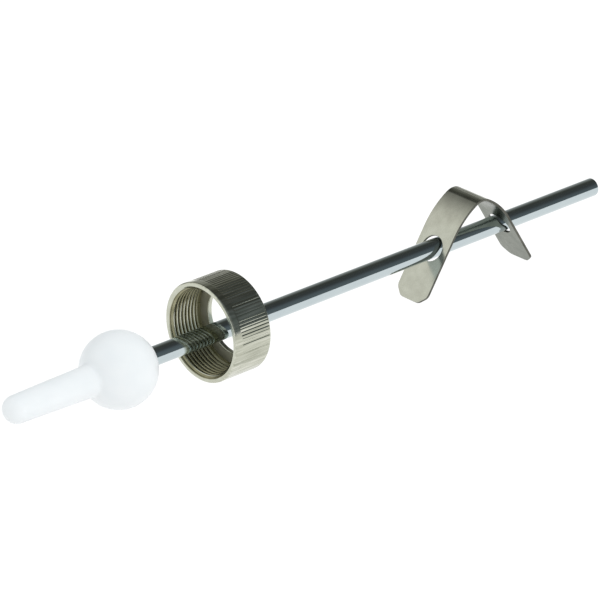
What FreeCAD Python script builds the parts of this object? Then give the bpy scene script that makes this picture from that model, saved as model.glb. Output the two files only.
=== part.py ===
"""Ball-and-rod pivot of a pop-up basin waste, with its retaining nut and spring clip.

The frame is in millimetres. The origin is the centre of the pivot ball, +X runs along the rod
towards its free end, and +Z is up. Each piece is written to parts/ as its own STEP file.
"""
import FreeCAD, Part
import math
import os

Vector = FreeCAD.Vector
X_AXIS = Vector(1, 0, 0)
Y_AXIS = Vector(0, 1, 0)
Z_AXIS = Vector(0, 0, 1)

# Pivot ball, with the finger that lifts the stopper: one plastic moulding
BALL_RADIUS = 9.35
FINGER_ROOT_RADIUS = 4.1
FINGER_TIP_RADIUS = 3.4
FINGER_TIP_X = -33.8
FINGER_FILLET = 1.2

# Pivot rod: 3/16 inch bar, moulded into the ball
ROD_RADIUS = 2.38
ROD_EMBEDDED_X = -4.0
ROD_FREE_X = 161.6
ROD_CHAMFER = 0.35

# Retaining nut: a knurled cap with an internal thread and an inward flange at its back
NUT_MOUTH_X = 25.5
NUT_LIFT = 1.3
NUT_LENGTH = 11.1
NUT_OUTER_RADIUS = 12.4
NUT_EDGE_CHAMFER = 0.35
NUT_LEAD_IN_RADIUS = 11.4
NUT_LEAD_IN_DEPTH = 0.8
NUT_THREAD_MINOR_RADIUS = 10.6
NUT_RELIEF_RADIUS = 11.3
NUT_RELIEF_WIDTH = 1.5
NUT_FLANGE_THICKNESS = 1.2
NUT_FLANGE_HOLE_RADIUS = 8.3

# Spring clip: one bent steel strip, drawn here as a crown and two legs
CLIP_CENTRE = Vector(115.0, 0.0, 0.0)
CLIP_PITCH = -0.5
CLIP_YAW = -0.9
CLIP_ROLL = 1.4
CLIP_WIDTH = 10.5
CLIP_THICKNESS = 0.65
CLIP_LEG_TILT = 32.9
CLIP_CROWN_RADIUS = 4.2
CLIP_SHOULDER_RADIUS = 21.0
CLIP_SHOULDER_ARC = 28.4
CLIP_LEG_ABOVE_HOLE = 4.4
CLIP_LEG_BELOW_HOLE = 13.9
CLIP_FOOT_CORNER = 2.2
CLIP_HOLE_RADIUS = 3.35
CLIP_HINGE_GAP = 0.05


def polar(radius, degrees):
    """Point at an angle in the XZ plane, measured from +X towards +Z."""
    angle = math.radians(degrees)
    return Vector(radius * math.cos(angle), 0, radius * math.sin(angle))


def revolved(outline):
    """Solid of revolution about the X axis from corner points in the upper XZ half plane."""
    points = [Vector(x, 0, r) for x, r in outline]
    face = Part.Face(Part.makePolygon(points + points[:1]))
    return face.revolve(Vector(0, 0, 0), X_AXIS, 360)


def make_pivot_ball():
    """Ball and tapered finger, with a fillet between them and a blind socket for the rod."""
    tip_centre = FINGER_TIP_X + FINGER_TIP_RADIUS
    ball = Part.makeSphere(BALL_RADIUS)
    finger = Part.makeCone(FINGER_TIP_RADIUS, FINGER_ROOT_RADIUS, -tip_centre,
                           Vector(tip_centre, 0, 0), X_AXIS)
    tip = Part.makeSphere(FINGER_TIP_RADIUS, Vector(tip_centre, 0, 0))
    moulding = ball.fuse([finger, tip]).removeSplitter()
    neck_edges = [edge for edge in moulding.Edges
                  if edge.BoundBox.XLength < 0.01
                  and -BALL_RADIUS < edge.BoundBox.XMin < -BALL_RADIUS / 2]
    moulding = moulding.makeFillet(FINGER_FILLET, neck_edges)
    socket = Part.makeCylinder(ROD_RADIUS, BALL_RADIUS * 2, Vector(ROD_EMBEDDED_X, 0, 0), X_AXIS)
    return moulding.cut(socket)


def make_pivot_rod():
    """Straight round bar with a small chamfer at its free end."""
    return revolved([
        (ROD_EMBEDDED_X, 0),
        (ROD_EMBEDDED_X, ROD_RADIUS),
        (ROD_FREE_X - ROD_CHAMFER, ROD_RADIUS),
        (ROD_FREE_X, ROD_RADIUS - ROD_CHAMFER),
        (ROD_FREE_X, 0),
    ])


def make_retaining_nut():
    """Cap nut at thread minor size, open towards the ball, with its flange at the far end."""
    flange_face = NUT_LENGTH - NUT_FLANGE_THICKNESS
    relief_start = flange_face - NUT_RELIEF_WIDTH
    chamfer = NUT_EDGE_CHAMFER
    nut = revolved([
        (0, NUT_LEAD_IN_RADIUS),
        (0, NUT_OUTER_RADIUS - chamfer),
        (chamfer, NUT_OUTER_RADIUS),
        (NUT_LENGTH - chamfer, NUT_OUTER_RADIUS),
        (NUT_LENGTH, NUT_OUTER_RADIUS - chamfer),
        (NUT_LENGTH, NUT_FLANGE_HOLE_RADIUS),
        (flange_face, NUT_FLANGE_HOLE_RADIUS),
        (flange_face, NUT_RELIEF_RADIUS),
        (relief_start, NUT_RELIEF_RADIUS),
        (relief_start, NUT_THREAD_MINOR_RADIUS),
        (NUT_LEAD_IN_DEPTH, NUT_THREAD_MINOR_RADIUS),
    ])
    nut.translate(Vector(NUT_MOUTH_X, 0, NUT_LIFT))
    return nut


def clip_bends():
    """Centres of the crown bend and of the shoulder bend on the +X side, in the clip's frame.

    The clip's frame has its origin midway between the two holes, with +Z towards the crown.
    The second centre lies on the line from the first through the point where the bends meet.
    """
    crown_half_arc = 90 - CLIP_LEG_TILT - CLIP_SHOULDER_ARC
    meet = 90 - crown_half_arc
    tilt = math.radians(CLIP_LEG_TILT)
    shoulder_from_crown = polar(CLIP_CROWN_RADIUS - CLIP_SHOULDER_RADIUS, meet)
    leg_top_from_shoulder = polar(CLIP_SHOULDER_RADIUS, CLIP_LEG_TILT)
    crown_height = (CLIP_LEG_ABOVE_HOLE * math.cos(tilt)
                    - shoulder_from_crown.z - leg_top_from_shoulder.z)
    crown_centre = Vector(0, 0, crown_height)
    return crown_centre, crown_centre + shoulder_from_crown, meet


def clip_leg_top():
    """Middle of the strip where the straight part of the +X leg starts, in the clip's frame."""
    shoulder_centre = clip_bends()[1]
    return shoulder_centre + polar(CLIP_SHOULDER_RADIUS, CLIP_LEG_TILT)


def mirrored_x(point):
    """The same point on the other side of the clip."""
    return Vector(-point.x, point.y, point.z)


def crown_curve(offset):
    """Points and arcs of the crown, as edges from the -X side to the +X side, offset outwards."""
    crown_centre, shoulder_centre, meet = clip_bends()
    crown_radius = CLIP_CROWN_RADIUS + offset
    shoulder_radius = CLIP_SHOULDER_RADIUS + offset
    end = shoulder_centre + polar(shoulder_radius, CLIP_LEG_TILT)
    middle = shoulder_centre + polar(shoulder_radius, (CLIP_LEG_TILT + meet) / 2)
    start = shoulder_centre + polar(shoulder_radius, meet)
    top = crown_centre + polar(crown_radius, 90)
    left = Part.Arc(mirrored_x(end), mirrored_x(middle), mirrored_x(start)).toShape()
    centre = Part.Arc(mirrored_x(start), top, start).toShape()
    right = Part.Arc(start, middle, end).toShape()
    return [left, centre, right], mirrored_x(end), end


def in_place(shape):
    """Set a piece of the clip on the rod, hanging a little askew in its oversize holes."""
    shape.rotate(Vector(0, 0, 0), Y_AXIS, CLIP_PITCH)
    shape.rotate(Vector(0, 0, 0), Z_AXIS, CLIP_YAW)
    shape.rotate(Vector(0, 0, 0), X_AXIS, CLIP_ROLL)
    shape.translate(CLIP_CENTRE)
    return shape


def make_clip_crown():
    """The bent top of the clip, between the straight legs."""
    outer, outer_left, outer_right = crown_curve(CLIP_THICKNESS / 2)
    inner, inner_left, inner_right = crown_curve(-CLIP_THICKNESS / 2)
    ends = [Part.makeLine(outer_left, inner_left), Part.makeLine(outer_right, inner_right)]
    wire = Part.Wire(Part.__sortEdges__(outer + inner + ends))
    crown = Part.Face(wire).extrude(Vector(0, CLIP_WIDTH, 0))
    crown.translate(Vector(0, -CLIP_WIDTH / 2, 0))
    return in_place(crown)


def make_clip_leg(side):
    """One flat leg with its hole and clipped corners; side is +1 for +X and -1 for -X.

    The leg is drawn flat, with its top at the origin and its foot towards -Z, then tilted.
    """
    half = CLIP_WIDTH / 2
    top = -CLIP_HINGE_GAP
    foot = -CLIP_LEG_ABOVE_HOLE - CLIP_LEG_BELOW_HOLE
    corner = CLIP_FOOT_CORNER
    outline = [
        Vector(0, -half, top),
        Vector(0, half, top),
        Vector(0, half, foot + corner),
        Vector(0, half - corner, foot),
        Vector(0, -half + corner, foot),
        Vector(0, -half, foot + corner),
    ]
    leg = Part.Face(Part.makePolygon(outline + outline[:1])).extrude(Vector(CLIP_THICKNESS, 0, 0))
    leg.translate(Vector(-CLIP_THICKNESS / 2, 0, 0))
    hole = Part.makeCylinder(CLIP_HOLE_RADIUS, CLIP_THICKNESS * 3,
                             Vector(-CLIP_THICKNESS * 1.5, 0, -CLIP_LEG_ABOVE_HOLE), X_AXIS)
    leg = leg.cut(hole)
    leg.rotate(Vector(0, 0, 0), Y_AXIS, -CLIP_LEG_TILT)
    leg.translate(clip_leg_top())
    if side < 0:
        leg.rotate(Vector(0, 0, 0), Z_AXIS, 180)
    return in_place(leg)


PIECES = {
    "pivot_ball": make_pivot_ball(),
    "pivot_rod": make_pivot_rod(),
    "retaining_nut": make_retaining_nut(),
    "clip_crown": make_clip_crown(),
    "clip_near_leg": make_clip_leg(-1),
    "clip_far_leg": make_clip_leg(1),
}

os.makedirs("parts", exist_ok=True)
for name, shape in PIECES.items():
    shape.exportStep(f"parts/{name}.step")
    box = shape.BoundBox
    print(f"{name}: valid {shape.isValid()}, solids {len(shape.Solids)}, "
          f"volume {shape.Volume:.1f} mm3, size {box.XLength:.2f} x {box.YLength:.2f} x {box.ZLength:.2f} mm")
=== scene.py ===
"""Blender scene for the ball-and-rod pivot of a pop-up basin waste. Everything is in metres."""
import math
import random

import bmesh
import bpy
from mathutils import Euler, Matrix, Vector


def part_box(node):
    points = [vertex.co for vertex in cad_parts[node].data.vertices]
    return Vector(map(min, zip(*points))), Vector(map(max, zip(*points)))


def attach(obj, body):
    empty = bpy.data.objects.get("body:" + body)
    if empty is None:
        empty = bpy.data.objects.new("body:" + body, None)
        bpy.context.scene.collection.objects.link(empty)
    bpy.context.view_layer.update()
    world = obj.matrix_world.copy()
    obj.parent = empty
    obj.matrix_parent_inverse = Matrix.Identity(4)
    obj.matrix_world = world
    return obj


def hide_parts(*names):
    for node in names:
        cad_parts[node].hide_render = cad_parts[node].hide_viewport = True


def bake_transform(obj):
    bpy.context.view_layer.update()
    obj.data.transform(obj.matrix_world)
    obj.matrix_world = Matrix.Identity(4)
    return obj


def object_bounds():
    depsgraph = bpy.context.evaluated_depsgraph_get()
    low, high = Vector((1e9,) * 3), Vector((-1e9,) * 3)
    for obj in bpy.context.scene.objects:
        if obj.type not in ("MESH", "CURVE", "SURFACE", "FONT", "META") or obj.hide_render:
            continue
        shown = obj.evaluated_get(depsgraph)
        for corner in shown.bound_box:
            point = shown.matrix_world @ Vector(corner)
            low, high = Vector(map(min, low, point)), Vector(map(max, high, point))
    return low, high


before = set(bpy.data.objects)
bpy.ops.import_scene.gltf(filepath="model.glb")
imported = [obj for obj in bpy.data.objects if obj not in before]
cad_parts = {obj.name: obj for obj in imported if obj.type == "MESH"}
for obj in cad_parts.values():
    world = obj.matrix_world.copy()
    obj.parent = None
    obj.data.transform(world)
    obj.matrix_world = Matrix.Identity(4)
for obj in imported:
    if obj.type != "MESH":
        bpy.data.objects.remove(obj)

CAD_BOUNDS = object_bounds()
MM = 0.001
TURN = 2 * math.pi

# Places and sizes that the CAD nodes give
BALL_LOW, BALL_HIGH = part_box("pivot_ball")
ROD_LOW, ROD_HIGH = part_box("pivot_rod")
NUT_LOW, NUT_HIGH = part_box("retaining_nut")
FLOOR_Z = CAD_BOUNDS[0][2] - 0.05 * MM

# Ball and finger
BALL_RADIUS = BALL_HIGH[1]
FINGER_TIP_X = BALL_LOW[0]
FINGER_TIP_RADIUS = 3.4 * MM
FINGER_ROOT_RADIUS = 4.1 * MM
FINGER_FILLET = 1.2 * MM
SOCKET_LIP = 0.25 * MM

# Rod
ROD_RADIUS = ROD_HIGH[1]
ROD_CHAMFER = 0.35 * MM

# Nut, measured from its mouth along the rod
NUT_LENGTH = NUT_HIGH[0] - NUT_LOW[0]
NUT_RADIUS = NUT_HIGH[1]
NUT_CENTRE = Vector((NUT_LOW[0], 0, NUT_HIGH[2] - NUT_RADIUS))
NUT_LEAD_IN_RADIUS = 11.4 * MM
NUT_LEAD_IN_DEPTH = 0.8 * MM
NUT_MINOR_RADIUS = 10.6 * MM
NUT_MAJOR_RADIUS = 11.2 * MM
NUT_RELIEF_RADIUS = 11.3 * MM
NUT_RELIEF_WIDTH = 1.5 * MM
NUT_FLANGE_THICKNESS = 1.2 * MM
NUT_FLANGE_HOLE = 8.3 * MM
NUT_EDGE_ROUND = 0.35 * MM

# Thread: crest and root are the half widths of their flats, as shares of the pitch
THREAD_PITCH = 25.4 / 24 * MM
THREAD_STEPS = 12
THREAD_CREST = 2 / THREAD_STEPS
THREAD_ROOT = 0.04

# Knurl: groove is a groove's half width, as a share of the distance from crest to crest
KNURL_COUNT = 100
KNURL_STEPS = 8
KNURL_DEPTH = 0.13 * MM
KNURL_TILT = 0.09 * MM
KNURL_GROOVE = 0.30
KNURL_START = 1.9 * MM
KNURL_FADE = 0.4 * MM
KNURL_SEED = 7

# Spring clip, in its own frame: origin midway between the holes, +Z towards the crown
CLIP_CENTRE = Vector((115.0 * MM, 0, 0))
CLIP_PITCH = math.radians(-0.5)
CLIP_YAW = math.radians(-0.9)
CLIP_ROLL = math.radians(1.4)
CLIP_WIDTH = 10.5 * MM
CLIP_THICKNESS = 0.65 * MM
CLIP_EDGE = 0.08 * MM
CLIP_LEG_TILT = math.radians(32.9)
CLIP_CROWN_RADIUS = 4.2 * MM
CLIP_SHOULDER_RADIUS = 21.0 * MM
CLIP_SHOULDER_ARC = math.radians(28.4)
CLIP_CROWN_ARC = math.pi / 2 - CLIP_LEG_TILT - CLIP_SHOULDER_ARC
CLIP_CROWN_LENGTH = CLIP_CROWN_RADIUS * CLIP_CROWN_ARC
CLIP_SHOULDER_LENGTH = CLIP_SHOULDER_RADIUS * CLIP_SHOULDER_ARC
CLIP_LEG_START = CLIP_CROWN_LENGTH + CLIP_SHOULDER_LENGTH
CLIP_LEG_ABOVE_HOLE = 4.4 * MM
CLIP_LEG_BELOW_HOLE = 13.9 * MM
CLIP_FOOT_CORNER = 2.2 * MM
CLIP_FOOT_ROUND = 0.9 * MM
CLIP_HOLE_RADIUS = 3.35 * MM
CLIP_BEND_STEP = math.radians(2.0)

# Camera and studio
CAMERA_AZIMUTH = math.radians(-43.47)
CAMERA_ELEVATION = math.radians(24.06)
CAMERA_DISTANCE = 0.8949
CAMERA_LENS = 223.0
CAMERA_TARGET = Vector((0.05855, 0.00096, -0.00068))
FLOOR_HALF_WIDTH = 3.0
BACK_WALL = Vector((0.688, 0.726, 0))
LEFT_SOFTBOX = Vector((-0.64, 0.66, 0.40)).normalized()


# ---------------------------------------------------------------- mesh helpers

def finished(name, mesh, materials, body, nodes):
    """Make an object of a mesh, give it its materials, and tie it to the frame."""
    obj = bpy.data.objects.new(name, mesh)
    bpy.context.collection.objects.link(obj)
    for material in materials:
        mesh.materials.append(material)
    for polygon in mesh.polygons:
        polygon.use_smooth = True
    if body:
        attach(obj, body)
    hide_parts(*nodes)
    return obj


def arc_points(centre, radius, start, end, steps):
    """Points (x, r) on an arc, with angles in radians from +X towards +r."""
    points = []
    for step in range(steps + 1):
        angle = start + (end - start) * step / steps
        points.append((centre[0] + radius * math.cos(angle), centre[1] + radius * math.sin(angle)))
    return points


def rounded_outline(corners, steps=3):
    """Replace each corner (x, r, radius) by a small arc of points, or keep it where radius is 0."""
    points = []
    count = len(corners)
    for index, (x, r, radius) in enumerate(corners):
        if radius == 0:
            points.append((x, r))
            continue
        here = Vector((x, r))
        before = (Vector(corners[index - 1][:2]) - here).normalized()
        after = (Vector(corners[(index + 1) % count][:2]) - here).normalized()
        for step in range(steps + 1):
            share = step / steps
            bend = here + before * radius * (1 - share) ** 2 + after * radius * share ** 2
            points.append((bend.x, bend.y))
    return points


def lathe(name, rows, columns, closed=False, helix_start=None, helix_steps=0, materials=None):
    """Mesh of rings about the X axis. rows is a list of functions of angle giving (x, r).

    A row whose radius is 0 becomes one point. A closed lathe joins its last row to its first.
    The rows from helix_start on are a helix: after a full turn, each one runs on into the row
    that is helix_steps before it. materials gives a material's number for each row's faces.
    """
    bm = bmesh.new()
    rings = []
    for row in rows:
        first_x, first_r = row(0.0)
        if first_r == 0:
            rings.append([bm.verts.new((first_x, 0, 0))])
            continue
        ring = []
        for column in range(columns):
            angle = TURN * column / columns
            x, r = row(angle)
            ring.append(bm.verts.new((x, r * math.cos(angle), r * math.sin(angle))))
        rings.append(ring)

    def corner(row, column):
        """Vertex of a row at a column, where the column after the last one may be asked for."""
        if column == columns and helix_start is not None and helix_start <= row < len(rings):
            row = max(row - helix_steps, helix_start)
        ring = rings[row % len(rings)]
        return ring[column % len(ring)]

    for row in range(len(rings) if closed else len(rings) - 1):
        for column in range(columns):
            quad = [corner(row, column), corner(row, column + 1),
                    corner(row + 1, column + 1), corner(row + 1, column)]
            corners = list(dict.fromkeys(quad))
            if len(corners) > 2:
                face = bm.faces.new(corners)
                face.material_index = materials[row] if materials else 0
    bmesh.ops.remove_doubles(bm, verts=bm.verts, dist=1e-7)
    bmesh.ops.recalc_face_normals(bm, faces=bm.faces)
    mesh = bpy.data.meshes.new(name)
    bm.to_mesh(mesh)
    bm.free()
    return mesh


def plain_rows(points):
    """Rows of a lathe whose radius is the same all round."""
    return [lambda angle, point=point: point for point in points]


# ---------------------------------------------------------------- materials

# Numbers of the materials on the nut and on the clip, in the order that the lists give them
OUTSIDE, THREAD, FLANGE_SEAT, FLAT_FACES = range(4)
OUTER_FACE, INNER_FACE, SHEARED_EDGE = range(3)


class Nodes:
    """A material's node tree, with short calls to add and join nodes."""

    def __init__(self, name):
        self.material = bpy.data.materials.new(name)
        self.material.use_nodes = True
        self.tree = self.material.node_tree
        self.shader = self.tree.nodes["Principled BSDF"]
        self.place = self.add("ShaderNodeTexCoord").outputs["Object"]

    def add(self, kind, **settings):
        """A new node with some of its settings changed."""
        node = self.tree.nodes.new(kind)
        for key, value in settings.items():
            setattr(node, key, value)
        return node

    def join(self, source, target):
        """Link an output socket to an input socket."""
        self.tree.links.new(source, target)

    def scaled(self, scale):
        """The piece's own coordinates, stretched by a scale along each axis."""
        mapping = self.add("ShaderNodeMapping")
        mapping.inputs["Scale"].default_value = scale
        self.join(self.place, mapping.inputs["Vector"])
        return mapping.outputs["Vector"]

    def noise(self, scale, detail=3.0, stretch=(1, 1, 1)):
        """Noise from 0 to 1, with scale in features per metre."""
        node = self.add("ShaderNodeTexNoise")
        node.inputs["Scale"].default_value = scale
        node.inputs["Detail"].default_value = detail
        self.join(self.scaled(stretch), node.inputs["Vector"])
        return node.outputs["Fac"]

    def ramp(self, value, stops):
        """A colour that runs through stops of (position, colour) as value grows."""
        node = self.add("ShaderNodeValToRGB")
        elements = node.color_ramp.elements
        while len(elements) < len(stops):
            elements.new(0.5)
        for element, (position, colour) in zip(elements, stops):
            element.position = position
            element.color = (*colour, 1)
        self.join(value, node.inputs["Fac"])
        return node.outputs["Color"]

    def between(self, value, low, high):
        """A number that runs from low to high as value runs from 0.3 to 0.7."""
        node = self.add("ShaderNodeMapRange")
        node.inputs["From Min"].default_value = 0.3
        node.inputs["From Max"].default_value = 0.7
        node.inputs["To Min"].default_value = low
        node.inputs["To Max"].default_value = high
        self.join(value, node.inputs["Value"])
        return node.outputs["Result"]

    def bump(self, height, strength, distance, previous=None):
        """A normal bent by a height, on top of a previous normal if there is one."""
        node = self.add("ShaderNodeBump")
        node.inputs["Strength"].default_value = strength
        node.inputs["Distance"].default_value = distance
        self.join(height, node.inputs["Height"])
        if previous is not None:
            self.join(previous, node.inputs["Normal"])
        return node.outputs["Normal"]


def white_plastic():
    """Moulded white acetal: satin, a little translucent, with a faint uneven surface."""
    m = Nodes("white_acetal")
    shader = m.shader
    colour = m.ramp(m.noise(220, 2), [(0.3, (0.84, 0.872, 0.887)), (0.7, (0.865, 0.892, 0.903))])
    m.join(colour, shader.inputs["Base Color"])
    m.join(m.between(m.noise(900, 3), 0.32, 0.42), shader.inputs["Roughness"])
    shader.inputs["Subsurface Weight"].default_value = 0.35
    shader.inputs["Subsurface Radius"].default_value = (1.0, 1.0, 1.0)
    shader.inputs["Subsurface Scale"].default_value = 1.2 * MM
    shader.inputs["IOR"].default_value = 1.48
    normal = m.bump(m.noise(1500, 4), 0.06, 0.02 * MM)
    m.join(normal, shader.inputs["Normal"])
    return m.material


def chrome_bar():
    """Bright chrome plate over drawn bar, with faint drawing lines along it."""
    m = Nodes("chrome_plate")
    shader = m.shader
    shader.inputs["Metallic"].default_value = 1.0
    lines = m.noise(2600, 3, stretch=(0.015, 1, 1))
    clouds = m.noise(160, 3)
    colour = m.ramp(clouds, [(0.3, (0.50, 0.565, 0.585)), (0.7, (0.53, 0.595, 0.61))])
    m.join(colour, shader.inputs["Base Color"])
    m.join(m.between(clouds, 0.045, 0.09), shader.inputs["Roughness"])
    normal = m.bump(lines, 0.10, 0.01 * MM)
    m.join(normal, shader.inputs["Normal"])
    return m.material


def nickel_brass(name, dull, middle, bright, low_roughness, high_roughness, patch=(1, 1, 1)):
    """Nickel-plated brass with fine turning marks, dulled a little in patches.

    patch stretches the patches: a small number along an axis makes them long that way.
    """
    m = Nodes(name)
    shader = m.shader
    shader.inputs["Metallic"].default_value = 1.0
    turning = m.noise(5200, 2, stretch=(1, 0.02, 0.02))
    patches = m.noise(340, 4, stretch=patch)
    colour = m.ramp(patches, [(0.25, dull), (0.55, middle), (0.8, bright)])
    m.join(colour, shader.inputs["Base Color"])
    m.join(m.between(patches, low_roughness, high_roughness), shader.inputs["Roughness"])
    fine = m.bump(turning, 0.12, 0.01 * MM)
    normal = m.bump(m.noise(1800, 3), 0.08, 0.02 * MM, fine)
    m.join(normal, shader.inputs["Normal"])
    return m.material


def nut_materials():
    """The nut's streaky outside, a darker and warmer copy of its finish in the thread and the relief
    groove that paints the shade in those recesses, a lighter satin copy on its flange seat that paints
    the light falling there, and the evenly turned faces at its mouth and back.
    """
    return [
        nickel_brass("nickel_plated_brass", (0.33, 0.34, 0.27), (0.54, 0.55, 0.46),
                     (0.70, 0.70, 0.62), 0.10, 0.19, patch=(0.3, 4.5, 4.5)),
        # Thread and relief groove: base colour darkened and warmed to paint shade in the recesses.
        nickel_brass("thread_painted_shade", (0.19, 0.186, 0.112), (0.29, 0.28, 0.178),
                     (0.40, 0.39, 0.268), 0.24, 0.36),
        # Flange seat: base colour lightened to paint the light it catches; the satin roughness is the
        # surface's own.
        nickel_brass("satin_flange_face_painted_light", (0.58, 0.57, 0.46), (0.66, 0.65, 0.54),
                     (0.70, 0.69, 0.60), 0.45, 0.6),
        nickel_brass("turned_nickel_face", (0.47, 0.475, 0.385), (0.53, 0.545, 0.455),
                     (0.58, 0.59, 0.505), 0.12, 0.2),
    ]


def spring_steel(name, dark, light, low_roughness, high_roughness):
    """Nickel-plated spring strip: satin, warm grey, mottled, with faint rolling lines."""
    m = Nodes(name)
    shader = m.shader
    shader.inputs["Metallic"].default_value = 1.0
    mottle = m.noise(420, 5)
    broad = m.noise(130, 2)
    tint = m.ramp(mottle, [(0.3, dark), (0.7, light)])
    m.join(tint, shader.inputs["Base Color"])
    m.join(m.between(broad, low_roughness, high_roughness), shader.inputs["Roughness"])
    rolled = m.bump(m.noise(3000, 2, stretch=(0.05, 1, 0.05)), 0.12, 0.01 * MM)
    normal = m.bump(mottle, 0.10, 0.02 * MM, rolled)
    m.join(normal, shader.inputs["Normal"])
    return m.material


def clip_materials():
    """The strip's outer face, a darker, rougher copy on its inner face that paints the shade inside
    the bend, and a near-black copy on its sheared edges that paints shade along them.
    """
    return [
        spring_steel("spring_steel_outside", (0.43, 0.435, 0.37), (0.51, 0.52, 0.447), 0.14, 0.22),
        # Inner face: base colour darkened to paint shade; the higher roughness is the surface's own.
        spring_steel("spring_steel_inside_painted_shade", (0.16, 0.175, 0.145), (0.22, 0.235, 0.20), 0.24, 0.34),
        # Sheared edges: near-black base colour paints a shaded outline in place of the edge
        # highlights.
        spring_steel("spring_steel_edge_painted_shade", (0.09, 0.09, 0.075), (0.17, 0.17, 0.145), 0.4, 0.55),
    ]


# ---------------------------------------------------------------- ball, finger and rod

def make_ball(material):
    """Ball with its tapered finger, the fillet between them, and the lip round the rod's socket."""
    tip_centre = FINGER_TIP_X + FINGER_TIP_RADIUS
    slope = (FINGER_ROOT_RADIUS - FINGER_TIP_RADIUS) / -tip_centre
    lean = math.atan(slope)

    def finger_radius(x):
        """Radius of the tapered finger at x."""
        return FINGER_TIP_RADIUS + slope * (x - tip_centre)

    # The fillet's circle touches the finger's side and the ball from outside
    low, high = -BALL_RADIUS - 2 * FINGER_FILLET, -BALL_RADIUS / 2
    for _ in range(60):
        centre_x = (low + high) / 2
        centre_r = finger_radius(centre_x) + FINGER_FILLET / math.cos(lean)
        if math.hypot(centre_x, centre_r) > BALL_RADIUS + FINGER_FILLET:
            low = centre_x
        else:
            high = centre_x
    ball_angle = math.atan2(centre_r, centre_x)

    outline = [(FINGER_TIP_X, 0)]
    outline += arc_points((tip_centre, 0), FINGER_TIP_RADIUS, math.pi - 0.06, math.pi / 2 + lean, 18)
    start_x = outline[-1][0]
    end_x = centre_x + FINGER_FILLET * math.sin(lean)
    for step in range(1, 12):
        x = start_x + (end_x - start_x) * step / 12
        outline.append((x, finger_radius(x)))
    outline += arc_points((centre_x, centre_r), FINGER_FILLET,
                          -math.pi / 2 + lean, ball_angle - math.pi, 8)
    lip_angle = math.asin((ROD_RADIUS + SOCKET_LIP) / BALL_RADIUS)
    outline += arc_points((0, 0), BALL_RADIUS, ball_angle, lip_angle, 64)[1:]
    lip_x = BALL_RADIUS * math.cos(lip_angle)
    outline.append((lip_x - SOCKET_LIP * 0.4, ROD_RADIUS + SOCKET_LIP * 0.3))
    outline.append((lip_x - SOCKET_LIP, ROD_RADIUS))
    outline.append((ROD_LOW[0], ROD_RADIUS))
    outline.append((ROD_LOW[0], 0))
    mesh = lathe("pivot_ball_moulding", plain_rows(outline), 128)
    return finished("ball_and_finger", mesh, [material], "ball_rod", ["pivot_ball"])


def make_rod(material):
    """Chrome bar with a rounded chamfer at its free end."""
    start = ROD_LOW[0] + 0.02 * MM
    end = ROD_HIGH[0]
    radius = ROD_RADIUS
    outline = [(start, 0), (start, radius - 0.01 * MM)]
    spans = 40
    for step in range(1, spans):
        outline.append((start + (end - ROD_CHAMFER - start) * step / spans, radius))
    outline += rounded_outline([
        (end - 2 * ROD_CHAMFER, radius, 0),
        (end - ROD_CHAMFER, radius, 0.15 * MM),
        (end, radius - ROD_CHAMFER, 0.12 * MM),
        (end, radius - 3 * ROD_CHAMFER, 0),
    ])
    outline.append((end, 0))
    mesh = lathe("pivot_rod_bar", plain_rows(outline), 96)
    return finished("chrome_rod", mesh, [material], "ball_rod", ["pivot_rod"])


# ---------------------------------------------------------------- retaining nut

def smooth_step(value):
    """0 below 0, 1 above 1, and smooth between."""
    share = min(max(value, 0.0), 1.0)
    return share * share * (3 - 2 * share)


def knurl_marks():
    """How deep each groove is cut, and how much each crest leans; no two are quite alike."""
    draw = random.Random(KNURL_SEED)
    return [(draw.uniform(0.4, 1.3), draw.uniform(-1, 1)) for _ in range(KNURL_COUNT)]


def knurl_cut(x, angle, marks):
    """Depth of the knurl below the nut's outside at a place on it."""
    turn = angle * KNURL_COUNT / TURN
    phase = turn % 1.0
    depth, _ = marks[int(turn) % KNURL_COUNT]
    groove = KNURL_DEPTH * depth * max(0.0, 1 - abs(phase - 0.5) / KNURL_GROOVE)
    _, lean = marks[round(turn) % KNURL_COUNT]
    across = turn - round(turn)
    crest = KNURL_TILT * (abs(lean) / 2 + lean * across)
    near_mouth = smooth_step((x - KNURL_START) / KNURL_FADE)
    near_back = smooth_step((NUT_LENGTH - 0.25 * MM - x) / (0.35 * MM))
    return max(groove, crest) * near_mouth * near_back


def thread_radius(x, angle):
    """Radius of the internal thread: narrow crests at the minor radius, roots at the major."""
    phase = (x / THREAD_PITCH - angle / TURN) % 1.0
    from_root = abs(phase - 0.5)
    flank = (from_root - THREAD_ROOT) / (0.5 - THREAD_CREST - THREAD_ROOT)
    rise = min(max(flank, 0.0), 1.0)
    thread = NUT_MAJOR_RADIUS + (NUT_MINOR_RADIUS - NUT_MAJOR_RADIUS) * rise
    lead_in = NUT_LEAD_IN_RADIUS - x * (NUT_LEAD_IN_RADIUS - NUT_MINOR_RADIUS) / NUT_LEAD_IN_DEPTH
    return max(thread, lead_in)


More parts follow.
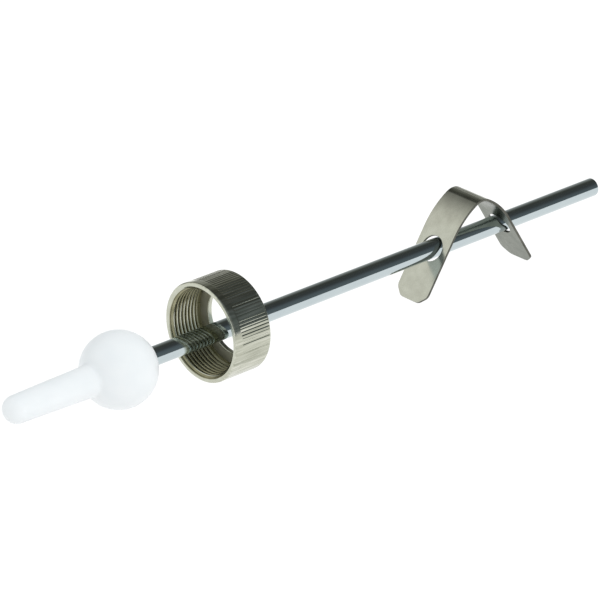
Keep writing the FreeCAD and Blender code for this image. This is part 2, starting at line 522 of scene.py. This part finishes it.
def nut_rows():
    """Rows of the nut's lathe round its section, with each row's material, and the thread's start.

    The rows go along the outside, over the back to the flange's hole, and out along the thread.
    """
    length = NUT_LENGTH
    flange = length - NUT_FLANGE_THICKNESS
    relief = flange - NUT_RELIEF_WIDTH
    edge = NUT_EDGE_ROUND
    marks = knurl_marks()

    outside = [(0, NUT_LEAD_IN_RADIUS + 0.03 * MM)]
    outside += arc_points((edge, NUT_RADIUS - edge), edge, math.pi, math.pi / 2, 5)
    middle = [0.7, 1.2, 1.7, 1.9, 2.0, 2.1, 2.2, 2.3, 4, 6, 8, 10.1, 10.35, 10.55, 10.7]
    outside += [(x * MM, NUT_RADIUS) for x in middle]
    outside += arc_points((length - edge, NUT_RADIUS - edge), edge, math.pi / 2, 0, 5)[1:]

    def knurled(point):
        """A row of the outside, cut by the knurl."""
        return lambda angle: (point[0], point[1] - knurl_cut(point[0], angle, marks))

    rows = [knurled(point) for point in outside]
    seat = (flange, NUT_FLANGE_HOLE + 0.3 * MM, 0)
    back = rounded_outline([
        (length, NUT_RADIUS - 1.4 * MM, 0),
        (length, NUT_FLANGE_HOLE, 0.18 * MM),
        (flange, NUT_FLANGE_HOLE, 0.18 * MM),
        seat,
    ])[:-1]
    groove = rounded_outline([
        seat,
        (flange, NUT_RELIEF_RADIUS, 0.2 * MM),
        (relief, NUT_RELIEF_RADIUS, 0.1 * MM),
        (relief, NUT_MAJOR_RADIUS + 0.02 * MM, 0),
    ])[:-1]
    # The relief groove takes the thread material, which paints shade in it, and the flange seat takes
    # the lighter copy, which paints light on it.
    materials = [FLAT_FACES] + [OUTSIDE] * (len(rows) - 2) + [FLAT_FACES] * len(back)
    materials += [FLANGE_SEAT] * 2 + [THREAD] * (len(groove) - 1)
    rows += plain_rows(back + groove)

    def threaded(turn_share):
        """A row of the helix, so many turns from the thread's start at angle 0."""
        def place(angle):
            x = min(max(THREAD_PITCH * (turn_share + angle / TURN), 0.0), relief)
            return x, thread_radius(x, angle)
        return place

    helix_start = len(rows)
    turns = math.ceil(relief / THREAD_PITCH) + 1
    steps = range((turns + 1) * THREAD_STEPS + 1)
    rows += [threaded(turns - step / THREAD_STEPS) for step in steps]
    # Crests take the turned-face finish; flanks and roots take the darker thread material, which
    # paints shade between the flanks.
    crest_steps = (0, 1, THREAD_STEPS - 2, THREAD_STEPS - 1)
    materials += [FLAT_FACES if step % THREAD_STEPS in crest_steps else THREAD for step in steps]
    return rows, materials, helix_start


def make_nut(finish):
    """Knurled cap nut with a true helical thread inside."""
    rows, materials, helix_start = nut_rows()
    mesh = lathe("retaining_nut_cap", rows, KNURL_COUNT * KNURL_STEPS, closed=True,
                 helix_start=helix_start, helix_steps=THREAD_STEPS, materials=materials)
    mesh.transform(Matrix.Translation(NUT_CENTRE))
    return finished("knurled_nut", mesh, finish, "nut", ["retaining_nut"])


# ---------------------------------------------------------------- spring clip

def facing(angle):
    """Direction (x, z) at an angle from +Z towards +X."""
    return Vector((math.sin(angle), math.cos(angle)))


def clip_path(distance):
    """Point and outward normal (x, z) on the strip's middle line, from the crown's top down +X."""
    crown_centre = Vector((0, clip_height() - CLIP_CROWN_RADIUS))
    if distance <= CLIP_CROWN_LENGTH:
        normal = facing(distance / CLIP_CROWN_RADIUS)
        return crown_centre + normal * CLIP_CROWN_RADIUS, normal
    shoulder_centre = (crown_centre
                       + facing(CLIP_CROWN_ARC) * (CLIP_CROWN_RADIUS - CLIP_SHOULDER_RADIUS))
    along_shoulder = min(distance - CLIP_CROWN_LENGTH, CLIP_SHOULDER_LENGTH)
    normal = facing(CLIP_CROWN_ARC + along_shoulder / CLIP_SHOULDER_RADIUS)
    down = Vector((normal.y, -normal.x))
    along_leg = max(distance - CLIP_LEG_START, 0.0)
    return shoulder_centre + normal * CLIP_SHOULDER_RADIUS + down * along_leg, normal


def clip_height():
    """Height of the crown's middle line above the holes."""
    bend = CLIP_CROWN_ARC + CLIP_SHOULDER_ARC
    crown = CLIP_CROWN_RADIUS * (1 - math.cos(CLIP_CROWN_ARC))
    shoulder = CLIP_SHOULDER_RADIUS * (math.cos(CLIP_CROWN_ARC) - math.cos(bend))
    return crown + shoulder + CLIP_LEG_ABOVE_HOLE * math.sin(bend)


def clip_placement():
    """The clip's place on the rod."""
    swing = Matrix.Rotation(CLIP_YAW, 4, "Z") @ Matrix.Rotation(CLIP_PITCH, 4, "Y")
    return Matrix.Translation(CLIP_CENTRE) @ Matrix.Rotation(CLIP_ROLL, 4, "X") @ swing


def flat_half_strip():
    """Half of the clip laid flat as a bmesh: x is the distance from the crown's top, y the width."""
    hole_at = CLIP_LEG_START + CLIP_LEG_ABOVE_HOLE
    foot = hole_at + CLIP_LEG_BELOW_HOLE
    half = CLIP_WIDTH / 2
    corner = CLIP_FOOT_CORNER
    leg = rounded_outline([
        (CLIP_LEG_START, -half, 0),
        (foot - corner, -half, CLIP_FOOT_ROUND),
        (foot, -half + corner, CLIP_FOOT_ROUND),
        (foot, half - corner, CLIP_FOOT_ROUND),
        (foot - corner, half, CLIP_FOOT_ROUND),
        (CLIP_LEG_START, half, 0),
    ], steps=5)
    hole = arc_points((hole_at, 0), CLIP_HOLE_RADIUS, 0, TURN, 64)[:-1]
    bm = bmesh.new()
    loops = []
    for outline in (leg, hole):
        verts = [bm.verts.new((x, y, 0)) for x, y in outline]
        loops.append([bm.edges.new((a, b)) for a, b in zip(verts, verts[1:] + verts[:1])])
    bmesh.ops.triangle_fill(bm, edges=loops[0] + loops[1], use_beauty=True)
    bm.verts.ensure_lookup_table()
    first, last = bm.verts[0], bm.verts[len(leg) - 1]
    crown = [bm.verts.new((0, half, 0)), bm.verts.new((0, -half, 0))]
    bm.faces.new([last, crown[0], crown[1], first])
    bmesh.ops.recalc_face_normals(bm, faces=bm.faces)
    return bm


def thicken(bm):
    """Give the flat strip its thickness and small edge rounds, and number its faces' materials."""
    bmesh.ops.solidify(bm, geom=bm.faces[:], thickness=CLIP_THICKNESS)
    bmesh.ops.recalc_face_normals(bm, faces=bm.faces)
    rims = [edge for edge in bm.edges
            if len(edge.link_faces) == 2
            and edge.calc_face_angle() > math.radians(60)
            and not all(vert.co.x < 1e-6 for vert in edge.verts)]
    bmesh.ops.bevel(bm, geom=rims, offset=CLIP_EDGE, segments=3, profile=0.6, affect="EDGES")
    bm.normal_update()
    # The inner face and the sheared edges get the darker copies of the steel, which paint shade; the
    # outer face keeps the plain finish.
    for face in bm.faces:
        if abs(face.normal.z) < 0.99:
            face.material_index = SHEARED_EDGE
        else:
            face.material_index = OUTER_FACE if face.normal.z > 0 else INNER_FACE


def cut_for_bends(bm):
    """Cut the flat strip across wherever it has to bend."""
    crown_steps = round(CLIP_CROWN_ARC / CLIP_BEND_STEP)
    shoulder_steps = round(CLIP_SHOULDER_ARC / CLIP_BEND_STEP)
    cuts = [0.1 * MM]
    cuts += [CLIP_CROWN_LENGTH * step / crown_steps for step in range(1, crown_steps + 1)]
    cuts += [CLIP_CROWN_LENGTH + CLIP_SHOULDER_LENGTH * step / shoulder_steps
             for step in range(1, shoulder_steps)]
    for cut in cuts:
        geometry = bm.verts[:] + bm.edges[:] + bm.faces[:]
        bmesh.ops.bisect_plane(bm, geom=geometry, dist=1e-7, plane_co=(cut, 0, 0), plane_no=(1, 0, 0))


def bend(bm, side, middle, placement):
    """Bend the flat strip about its middle height, and set it in its place on the rod."""
    for vert in bm.verts:
        point, normal = clip_path(vert.co.x)
        bent = point + normal * (vert.co.z - middle)
        vert.co = placement @ Vector((side * bent.x, side * vert.co.y, bent.y))
    bmesh.ops.recalc_face_normals(bm, faces=bm.faces)
    if bm.calc_volume(signed=True) < 0:
        bmesh.ops.reverse_faces(bm, faces=bm.faces)


def make_clip_half(side, materials, nodes):
    """One half of the bent strip; side is +1 towards the free end and -1 towards the ball."""
    placement = clip_placement()
    bm = flat_half_strip()
    thicken(bm)
    heights = [vert.co.z for vert in bm.verts]
    middle = (min(heights) + max(heights)) / 2
    cut_for_bends(bm)
    bend(bm, side, middle, placement)
    mesh = bpy.data.meshes.new("spring_clip_strip")
    bm.to_mesh(mesh)
    bm.free()
    name = "clip_half_by_free_end" if side > 0 else "clip_half_by_ball"
    obj = finished(name, mesh, materials, None, nodes)
    weighted = obj.modifiers.new("flat_faces", "WEIGHTED_NORMAL")
    weighted.keep_sharp = True
    settle(obj)
    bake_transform(obj)
    return obj


def settle(obj):
    """Apply an object's modifiers to its mesh."""
    bpy.context.view_layer.update()
    graph = bpy.context.evaluated_depsgraph_get()
    mesh = bpy.data.meshes.new_from_object(obj.evaluated_get(graph))
    obj.modifiers.clear()
    obj.data = mesh


# ---------------------------------------------------------------- floor, light and camera

def make_floor():
    """Large pale floor that reads as plain white, a little softer where it lights matt surfaces."""
    mesh = bpy.data.meshes.new("floor")
    half = FLOOR_HALF_WIDTH
    corners = [(-half, -half), (half, -half), (half, half), (-half, half)]
    mesh.from_pydata([(x, y, FLOOR_Z) for x, y in corners], [], [(0, 1, 2, 3)])
    obj = bpy.data.objects.new("floor", mesh)
    bpy.context.collection.objects.link(obj)
    m = Nodes("pale_floor")
    shader = m.shader
    shader.inputs["Base Color"].default_value = (0.10, 0.10, 0.10, 1)
    shader.inputs["Roughness"].default_value = 1.0
    shader.inputs["Specular IOR Level"].default_value = 0.0
    shader.inputs["Emission Color"].default_value = (1, 1, 1, 1)
    glow = m.add("ShaderNodeMapRange")
    glow.inputs["To Min"].default_value = 1.0
    glow.inputs["To Max"].default_value = 0.84
    m.join(m.add("ShaderNodeLightPath").outputs["Is Diffuse Ray"], glow.inputs["Value"])
    m.join(glow.outputs["Result"], shader.inputs["Emission Strength"])
    mesh.materials.append(m.material)


def make_world():
    """Even soft light for matt surfaces, and a studio of pale and dark walls for glossy ones."""
    world = bpy.data.worlds.new("studio")
    bpy.context.scene.world = world
    world.use_nodes = True
    tree = world.node_tree
    tree.nodes.clear()

    def add(kind, **settings):
        """A new node with some of its settings changed."""
        node = tree.nodes.new(kind)
        for key, value in settings.items():
            setattr(node, key, value)
        return node

    def along(vector):
        """How far the ray's direction points along a vector, from -1 to 1."""
        node = add("ShaderNodeVectorMath", operation="DOT_PRODUCT")
        node.inputs[1].default_value = vector
        tree.links.new(direction, node.inputs[0])
        return node.outputs["Value"]

    def ramp(value, low, stops):
        """Grey level against a value that runs from low to 1."""
        spread = add("ShaderNodeMapRange")
        spread.inputs["From Min"].default_value = low
        tree.links.new(value, spread.inputs["Value"])
        node = add("ShaderNodeValToRGB")
        elements = node.color_ramp.elements
        while len(elements) < len(stops):
            elements.new(0.5)
        for element, (position, colour) in zip(elements, stops):
            element.position = (position - low) / (1 - low)
            element.color = (*colour, 1)
        tree.links.new(spread.outputs["Result"], node.inputs["Fac"])
        return node.outputs["Color"]

    direction = add("ShaderNodeTexCoord").outputs["Generated"]
    walls = ramp(along(BACK_WALL), -1, [
        (-1.0, (0.30, 0.32, 0.33)),
        (-0.35, (0.17, 0.19, 0.20)),
        (-0.10, (0.13, 0.155, 0.165)),
        (0.00, (0.11, 0.13, 0.14)),
        (0.09, (0.08, 0.09, 0.095)),
        (0.20, (0.058, 0.064, 0.064)),
        (0.64, (0.060, 0.062, 0.054)),
        (0.75, (0.11, 0.115, 0.10)),
        (0.84, (0.19, 0.195, 0.18)),
        (0.915, (0.29, 0.295, 0.28)),
        (0.965, (0.37, 0.375, 0.36)),
        (1.0, (0.46, 0.465, 0.45)),
    ])
    softbox = ramp(along(LEFT_SOFTBOX), 0, [
        (0.0, (0, 0, 0)),
        (0.65, (0, 0, 0)),
        (0.76, (0.30, 0.30, 0.29)),
        (0.88, (0.64, 0.635, 0.61)),
        (0.95, (0.88, 0.87, 0.84)),
        (1.0, (0.95, 0.94, 0.91)),
    ])
    both = add("ShaderNodeMix", data_type="RGBA", blend_type="ADD")
    both.inputs["Factor"].default_value = 1.0
    tree.links.new(walls, both.inputs["A"])
    tree.links.new(softbox, both.inputs["B"])
    glossy = add("ShaderNodeBackground")
    tree.links.new(both.outputs["Result"], glossy.inputs["Color"])
    even = add("ShaderNodeBackground")
    even.inputs["Color"].default_value = (0.97, 0.99, 1.0, 1)
    even.inputs["Strength"].default_value = 0.90
    choose = add("ShaderNodeMixShader")
    tree.links.new(add("ShaderNodeLightPath").outputs["Is Glossy Ray"], choose.inputs["Fac"])
    tree.links.new(even.outputs["Background"], choose.inputs[1])
    tree.links.new(glossy.outputs["Background"], choose.inputs[2])
    tree.links.new(choose.outputs["Shader"], add("ShaderNodeOutputWorld").inputs["Surface"])


def make_camera():
    """Long-lens camera at the photograph's angle."""
    cos_el = math.cos(CAMERA_ELEVATION)
    back = Vector((math.sin(CAMERA_AZIMUTH) * cos_el,
                   -math.cos(CAMERA_AZIMUTH) * cos_el,
                   math.sin(CAMERA_ELEVATION)))
    data = bpy.data.cameras.new("camera")
    data.lens = CAMERA_LENS
    data.sensor_width = 36.0
    data.clip_start = 0.01
    data.clip_end = 20.0
    camera = bpy.data.objects.new("camera", data)
    bpy.context.collection.objects.link(camera)
    camera.location = CAMERA_TARGET + back * CAMERA_DISTANCE
    camera.rotation_euler = Euler((math.pi / 2 - CAMERA_ELEVATION, 0, CAMERA_AZIMUTH))
    bpy.context.scene.camera = camera


def make_lights():
    """One broad soft lamp from the front right, for a little shape on the plastic."""
    data = bpy.data.lights.new("soft_key", "AREA")
    data.shape = "DISK"
    data.size = 0.7
    data.energy = 2.8
    lamp = bpy.data.objects.new("soft_key", data)
    bpy.context.collection.objects.link(lamp)
    lamp.location = Vector((0.25, -0.85, 0.75))
    lamp.rotation_euler = (Vector((0.03, 0, 0)) - lamp.location).to_track_quat("-Z", "Y").to_euler()
    lamp.visible_glossy = False


def make_object():
    """Every piece of the part, in the places the frame gives."""
    make_ball(white_plastic())
    make_rod(chrome_bar())
    make_nut(nut_materials())
    steel = clip_materials()
    make_clip_half(-1, steel, ["clip_near_leg", "clip_crown"])
    make_clip_half(1, steel, ["clip_far_leg"])


bpy.context.scene.view_settings.view_transform = "Standard"
make_camera()
make_floor()
make_world()
make_lights()
make_object()

bpy.context.view_layer.update()
